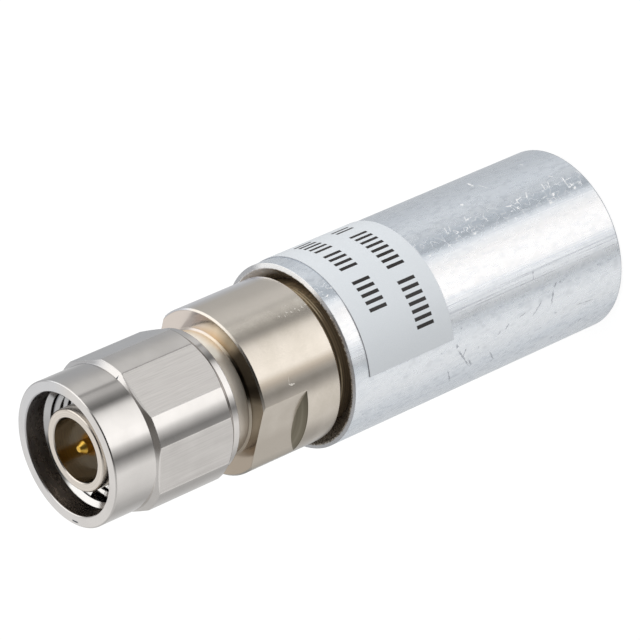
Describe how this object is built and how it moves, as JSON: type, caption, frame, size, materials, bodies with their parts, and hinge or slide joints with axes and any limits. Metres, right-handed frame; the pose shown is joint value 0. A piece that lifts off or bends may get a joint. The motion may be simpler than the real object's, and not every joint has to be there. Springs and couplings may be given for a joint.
{
  "type": "coaxial termination",
  "caption": "Coaxial termination with a screw-on plug coupling: gold pin, hexagon-flatted coupling nut, nickel body with wrench flats and a round aluminium heat sink with a bare wrap label.",
  "frame": {"origin": "centre of the heat sink's flat rear end, on which the part stands", "axes": "+Z along the connector's axis, from the rear end to the mating end; +X towards the side that the picture's camera faces"},
  "size_m": [0.0186, 0.0186, 0.0617],
  "materials": {
    "nickel_nut": "nickel-plated brass, finely turned and milled",
    "nickel_body": "warm nickel-plated brass, satin",
    "nickel_contact": "nickel-plated brass, turned",
    "gold": "gold-plated brass, polished",
    "bronze": "spring bronze",
    "brass_inner": "bare turned brass",
    "silver_plate": "silver-plated brass",
    "aluminium": "bare drawn aluminium, with draw lines, nicks and scratches",
    "spring_steel": "spring steel",
    "label_film": "matt silver-grey film",
    "ptfe": "PTFE",
    "silicone": "red-brown silicone rubber",
    "ceramic": "opaque ceramic with a dark resistive film"
  },
  "bodies": {
    "load_body": {"interface_gasket": "silicone", "outer_contact": "nickel_contact", "centre_contact": "gold", "front_insulator": "ptfe", "retainer_bush": "brass_inner", "support_bead": "ptfe", "main_body": "nickel_body", "sleeve_seal": "silicone", "heat_sink_sleeve": "aluminium", "label": "label_film", "resistor_rod": "ceramic", "resistor_front_cap": "silver_plate", "resistor_rear_cap": "silver_plate", "load_shell": "brass_inner", "ground_contact_bush": "bronze", "ground_plug": "brass_inner", "spring_washer": "spring_steel", "backing_washer": "spring_steel"},
    "snap_ring": {"retaining_ring": "bronze"},
    "nut": {"coupling_nut": "nickel_nut"}
  },
  "joints": [
    {"name": "nut_float", "type": "slide", "parent": "load_body", "child": "snap_ring", "axis": [0, 0, 1], "range_m": [0, 0.0003]},
    {"name": "nut_spin", "type": "hinge", "parent": "snap_ring", "child": "nut", "pos_m": [0, 0, 0.04715], "axis": [0, 0, 1], "continuous": true}
  ]
}
